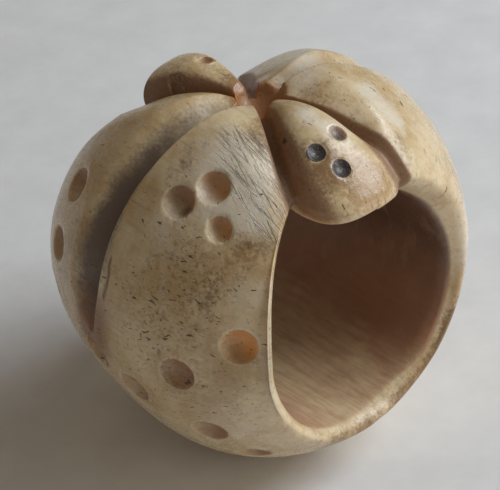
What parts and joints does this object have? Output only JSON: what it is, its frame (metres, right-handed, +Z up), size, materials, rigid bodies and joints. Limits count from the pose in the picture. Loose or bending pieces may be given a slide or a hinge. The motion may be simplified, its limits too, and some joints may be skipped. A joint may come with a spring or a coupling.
{
  "type": "netsuke",
  "caption": "Carved bone toggle: a ball with a wide bore through it, a six-lobed flower over the top and drilled dots all over.",
  "frame": {"origin": "middle of the bounding box in plan, on the plane of the flat foot", "axes": "+Z up, through the middle of the flower; the bore runs along Y, and -Y is the front mouth, with the longer bud over it; +X is to the right seen from the front"},
  "size_m": [0.0358, 0.027, 0.0346],
  "materials": {
    "bone": "polished cream bone, brown in the grooves"
  },
  "bodies": {
    "root": {"carved_bone": "bone"}
  },
  "joints": []
}
